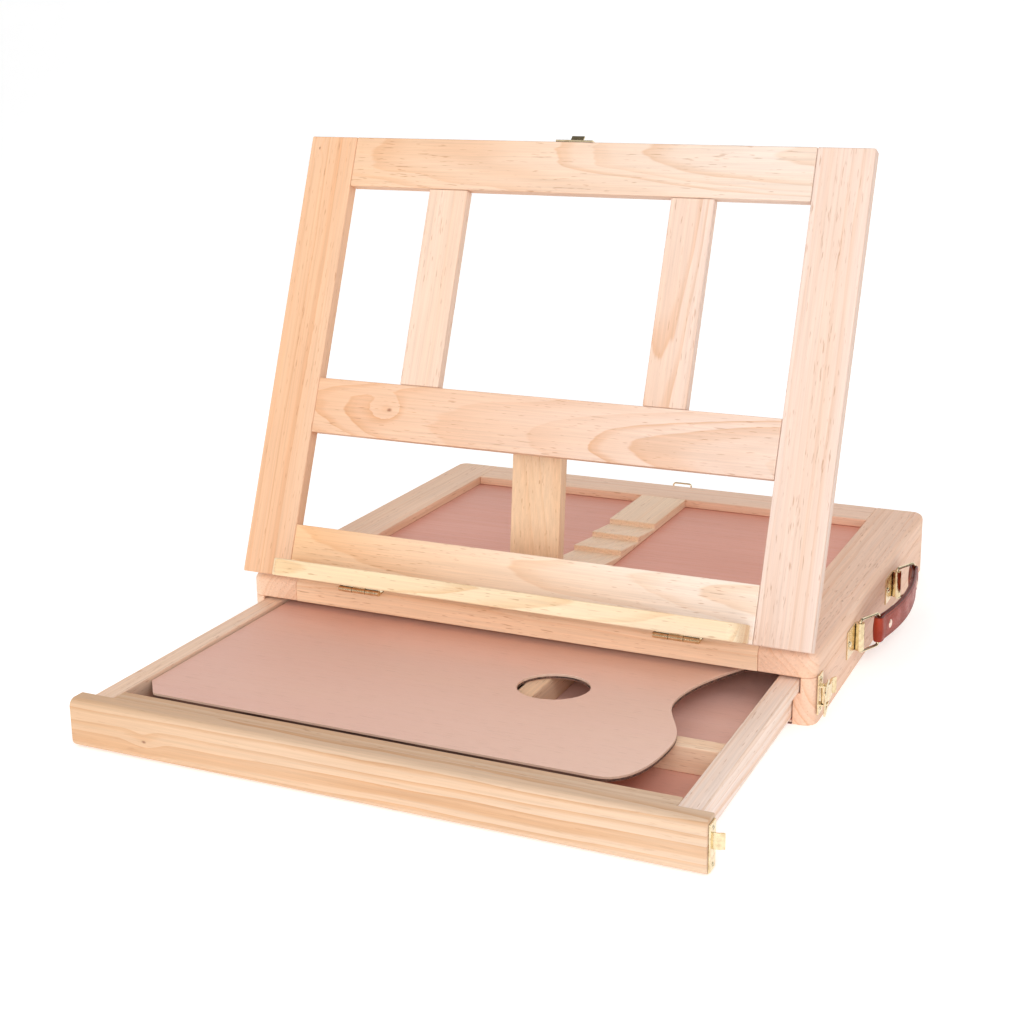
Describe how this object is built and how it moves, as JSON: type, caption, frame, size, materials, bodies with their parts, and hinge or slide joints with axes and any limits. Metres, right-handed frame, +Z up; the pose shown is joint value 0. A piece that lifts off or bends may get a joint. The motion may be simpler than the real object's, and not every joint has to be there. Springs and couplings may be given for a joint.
{
  "type": "table box easel",
  "caption": "Wooden table easel box with a hinged canvas frame on a prop strut, a ratchet bar, a drawer with a palette, toggle latches and a leather carrying handle.",
  "frame": {"origin": "centre of the box's footprint, on the surface it stands on", "axes": "+Z up, -Y towards the drawer and the painter, +X towards the carrying handle"},
  "size_m": [0.4308, 0.5435, 0.3489],
  "materials": {
    "pine_frame": "light pine, thin clear varnish",
    "pine_box": "light pine, thin clear varnish",
    "pine_drawer": "light pine, thin clear varnish",
    "pine_ledge": "pale pine, thin clear varnish",
    "plywood": "pinkish-brown plywood, satin",
    "palette_plywood": "pinkish-brown plywood, satin",
    "brass_hardware": "bright brass plate",
    "steel_hardware": "brass-plated wire, pins and screws",
    "leather_strap": "red-brown leather, semi-gloss",
    "copper_rivet": "pale copper-plated rivet"
  },
  "bodies": {
    "box": {"box_side_left": "pine_box", "box_side_right": "pine_box", "box_back": "pine_box", "box_bottom": "plywood", "top_stile_left": "pine_box", "top_stile_right": "pine_box", "top_rail_front": "pine_box", "top_rail_back": "pine_box", "ratchet_bar": "pine_box", "top_panel_left": "plywood", "top_panel_right": "plywood", "frame_hinge_lower_left": "brass_hardware", "frame_hinge_lower_right": "brass_hardware", "frame_hinge_pin_left": "brass_hardware", "frame_hinge_pin_right": "brass_hardware", "drawer_latch_plate": "brass_hardware", "drawer_latch_pin": "steel_hardware", "lid_latch_plate": "brass_hardware", "lid_latch_pin": "steel_hardware", "handle_clip_front": "brass_hardware", "handle_clip_rear": "brass_hardware", "handle_clip_screw_front": "steel_hardware", "handle_clip_screw_rear": "steel_hardware"},
    "canvas_frame": {"frame_stile_left": "pine_frame", "frame_stile_right": "pine_frame", "frame_rail_top": "pine_frame", "frame_rail_middle": "pine_frame", "frame_rail_bottom": "pine_frame", "frame_bar_left": "pine_frame", "frame_bar_right": "pine_frame", "canvas_ledge": "pine_ledge", "frame_hinge_upper_left": "brass_hardware", "frame_hinge_upper_right": "brass_hardware", "strut_hinge_fixed_leaf": "brass_hardware", "strut_hinge_pin": "brass_hardware", "lid_catch": "brass_hardware"},
    "strut": {"prop_strut": "pine_frame", "strut_hinge_moving_leaf": "brass_hardware"},
    "drawer": {"drawer_front": "pine_drawer", "drawer_inner_front": "pine_drawer", "drawer_side_left": "pine_drawer", "drawer_side_right": "pine_drawer", "drawer_back": "pine_drawer", "drawer_floor": "plywood", "drawer_divider_cross": "pine_drawer", "drawer_divider_long": "pine_drawer", "drawer_catch": "brass_hardware"},
    "palette_board": {"palette": "palette_plywood"},
    "drawer_lever": {"drawer_latch_lever": "brass_hardware"},
    "drawer_loop": {"drawer_latch_loop": "steel_hardware"},
    "lid_lever": {"lid_latch_lever": "brass_hardware"},
    "lid_loop": {"lid_latch_loop": "steel_hardware"},
    "ring_front": {"handle_ring_front": "brass_hardware"},
    "ring_rear": {"handle_ring_rear": "brass_hardware"},
    "strap": {"handle_strap": "leather_strap", "handle_rivet_front": "copper_rivet", "handle_rivet_rear": "copper_rivet"}
  },
  "joints": [
    {"name": "frame_tilt", "type": "hinge", "parent": "box", "child": "canvas_frame", "pos_m": [0, -0.169, 0.047], "axis": [1, 0, 0], "range_deg": [0, 21.8]},
    {"name": "strut_swing", "type": "hinge", "parent": "canvas_frame", "child": "strut", "pos_m": [-0.002, -0.11601, 0.17949], "axis": [1, 0, 0], "range_deg": [0, 164.3]},
    {"name": "drawer_slide", "type": "slide", "parent": "box", "child": "drawer", "axis": [0, -1, 0], "range_m": [-0.1885, 0.05]},
    {"name": "palette_lift", "type": "slide", "parent": "drawer", "child": "palette_board", "axis": [0, 0, 1], "range_m": [0, 0.0034]},
    {"name": "drawer_latch_open", "type": "hinge", "parent": "box", "child": "drawer_lever", "pos_m": [0.2083, -0.1599, 0.02], "axis": [0, 0, -1], "range_deg": [0, 110]},
    {"name": "drawer_loop_turn", "type": "hinge", "parent": "drawer_lever", "child": "drawer_loop", "pos_m": [0.2094, -0.1525, 0.02], "axis": [0, 0, -1], "range_deg": [-143, 0]},
    {"name": "lid_latch_open", "type": "hinge", "parent": "box", "child": "lid_lever", "pos_m": [0, 0.1698, 0.0309], "axis": [1, 0, 0], "range_deg": [0, 110]},
    {"name": "lid_loop_turn", "type": "hinge", "parent": "lid_lever", "child": "lid_loop", "pos_m": [0, 0.1709, 0.0235], "axis": [1, 0, 0], "range_deg": [-143, 0]},
    {"name": "handle_swing", "type": "hinge", "parent": "box", "child": "ring_front", "pos_m": [0.2086, -0.0665, 0.0255], "axis": [0, 0, -1], "range_deg": [-19, 115]},
    {"name": "handle_rear_ring", "type": "hinge", "parent": "box", "child": "ring_rear", "pos_m": [0.2086, 0.0485, 0.0255], "axis": [0, 0, -1], "range_deg": [-19, 115]},
    {"name": "handle_strap_turn", "type": "hinge", "parent": "ring_front", "child": "strap", "pos_m": [0.21705, -0.04837, 0.0255], "axis": [0, 0, -1], "range_deg": [-115, 19]}
  ],
  "couplings": [
    {"joint": "drawer_loop_turn", "follows": "drawer_latch_open", "ratio": -1.3},
    {"joint": "lid_loop_turn", "follows": "lid_latch_open", "ratio": -1.3},
    {"joint": "handle_rear_ring", "follows": "handle_swing", "ratio": 1},
    {"joint": "handle_strap_turn", "follows": "handle_swing", "ratio": -1}
  ]
}
